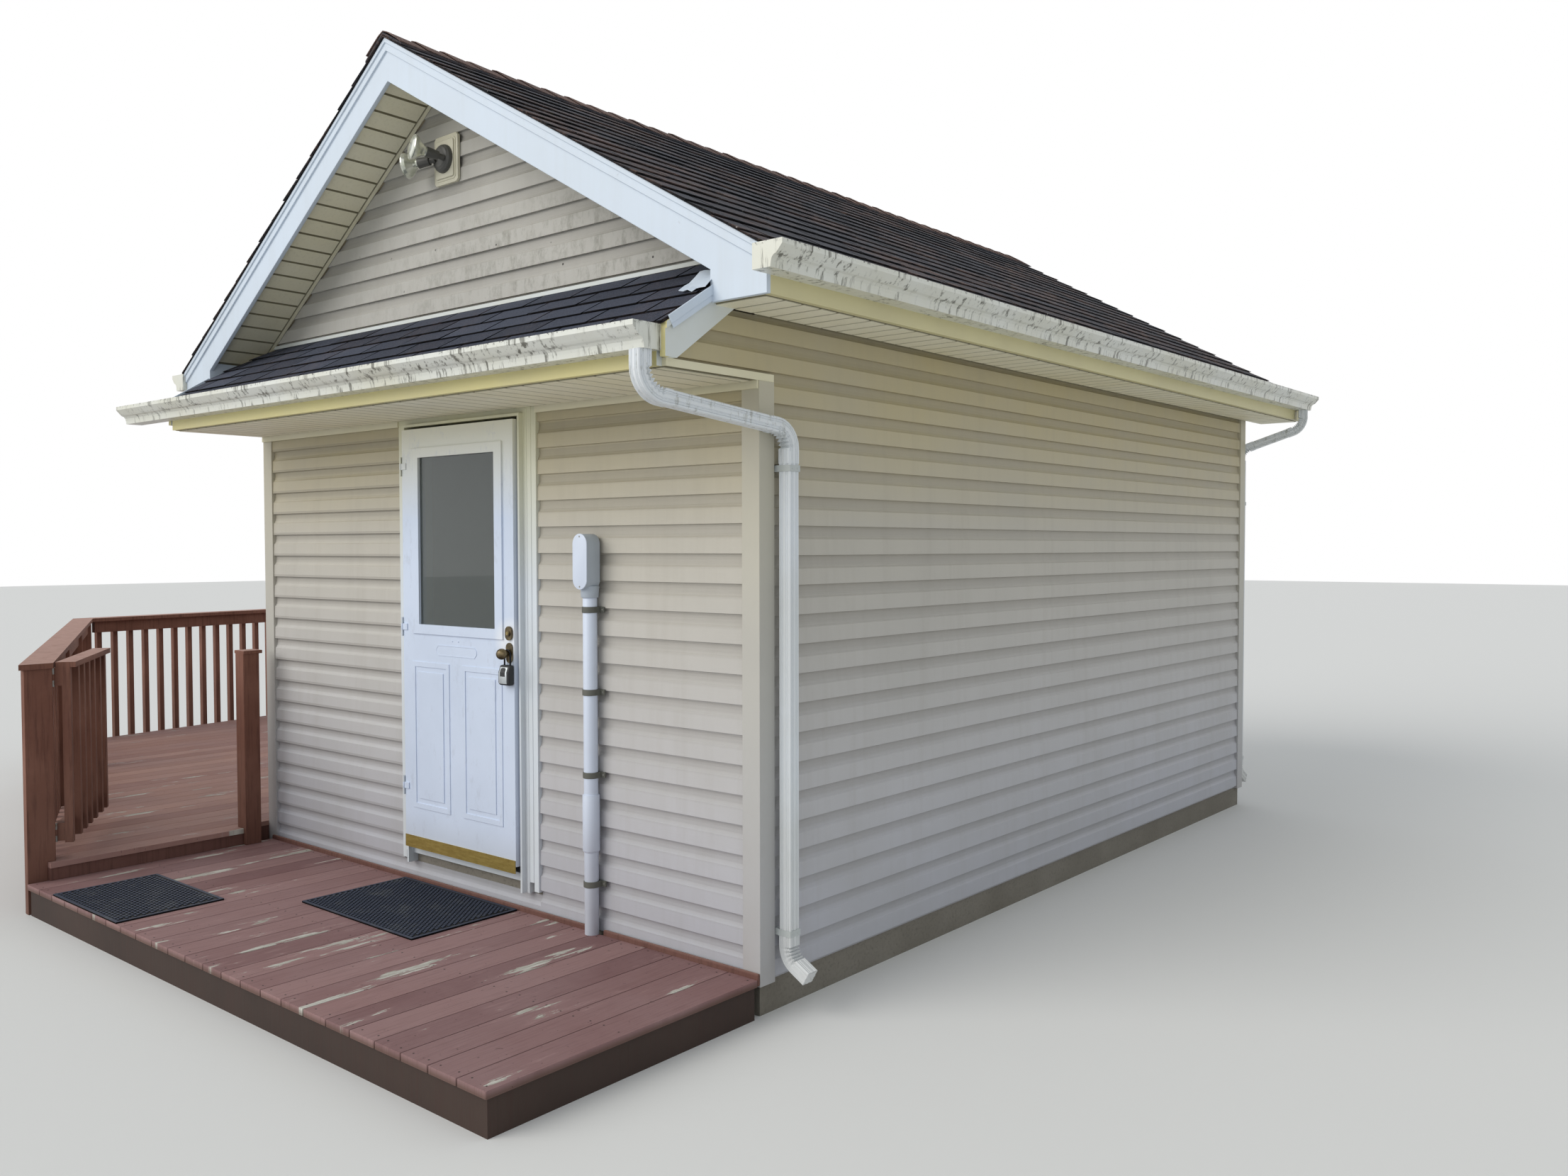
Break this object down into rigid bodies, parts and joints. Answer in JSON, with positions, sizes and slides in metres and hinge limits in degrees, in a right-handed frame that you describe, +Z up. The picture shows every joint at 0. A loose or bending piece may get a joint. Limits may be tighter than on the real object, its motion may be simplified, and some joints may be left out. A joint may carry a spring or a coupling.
{
  "type": "boathouse",
  "caption": "Small gabled outbuilding with lap siding, a pent roof over its glazed door, gutters, an entry deck and a raised side deck with railings and a gate.",
  "frame": {"origin": "middle of the building's footprint, on the ground, at the flat underside of the foundation", "axes": "+Z up, +X along the door wall towards the downspout side, -Y out of the door wall"},
  "size_m": [8.4266, 6.6413, 4.068],
  "materials": {
    "concrete": "rough, weathered",
    "floor_sheet": "plain sheet",
    "wall_frame": "plain, hidden",
    "siding": "vinyl, light grain, dusty",
    "shingles": "mineral granules, some moss and needles",
    "white_trim": "satin white, streaked",
    "soffit": "satin cream, ribbed",
    "gutter": "satin white, dirt streaks",
    "frame_white": "satin white",
    "steel": "dull",
    "door_paint": "satin white",
    "pane": "clear, dark room behind",
    "sweep": "dull",
    "antique_brass": "antique",
    "lockbox_paint": "satin black and silver",
    "conduit": "matt grey",
    "lamp_base": "satin",
    "lamp_glass": "frosted reflector bulb",
    "deck_wood": "worn brown stain",
    "dark_wood": "dark brown stain",
    "mat_rubber": "matt, moulded"
  },
  "bodies": {
    "root": {"foundation": "concrete", "floor": "floor_sheet", "front_wall_left": "wall_frame", "front_wall_right": "wall_frame", "front_wall_over_door": "wall_frame", "left_wall": "wall_frame", "right_wall": "wall_frame", "rear_wall": "wall_frame", "gable_walls": "wall_frame", "siding_front": "siding", "siding_left": "siding", "siding_right": "siding", "siding_rear": "siding", "siding_gables": "siding", "corner_posts": "siding", "roof_right": "wall_frame", "roof_left": "wall_frame", "shingles_right": "shingles", "shingles_left": "shingles", "ridge_cap": "shingles", "rake_boards": "white_trim", "rake_soffits": "soffit", "eave_fascias": "white_trim", "eave_soffits": "soffit", "pent_roof": "wall_frame", "pent_shingles": "shingles", "pent_soffit": "soffit", "pent_cheeks": "siding", "pent_trim": "white_trim", "eave_gutters": "gutter", "pent_gutter": "gutter", "front_downspout": "gutter", "rear_downspout": "gutter", "door_frame": "frame_white", "door_hinges": "steel", "conduit": "conduit", "floodlight": "lamp_base", "lamps": "lamp_glass", "entry_deck_boards": "deck_wood", "entry_deck_frame": "dark_wood", "wall_base_trim": "dark_wood", "doormats": "mat_rubber", "side_deck_boards": "deck_wood", "side_deck_frame": "dark_wood", "deck_posts": "dark_wood", "railing_front": "dark_wood", "railing_left": "dark_wood", "railing_rear": "dark_wood", "gate_hinges": "steel"},
    "door": {"door_leaf": "door_paint", "door_glass": "pane", "door_sweep": "sweep", "door_lock": "antique_brass", "lockbox": "lockbox_paint"},
    "gate": {"gate_leaf": "dark_wood"}
  },
  "joints": [
    {"name": "door_hinge", "type": "hinge", "parent": "root", "child": "door", "pos_m": [-0.409, -2.5885, 0], "axis": [0, 0, 1], "range_deg": [-105, 0]},
    {"name": "gate_hinge", "type": "hinge", "parent": "root", "child": "gate", "pos_m": [-1.787, -3.642, 0], "axis": [0, 0, 1], "range_deg": [-58.5, 0]}
  ]
}
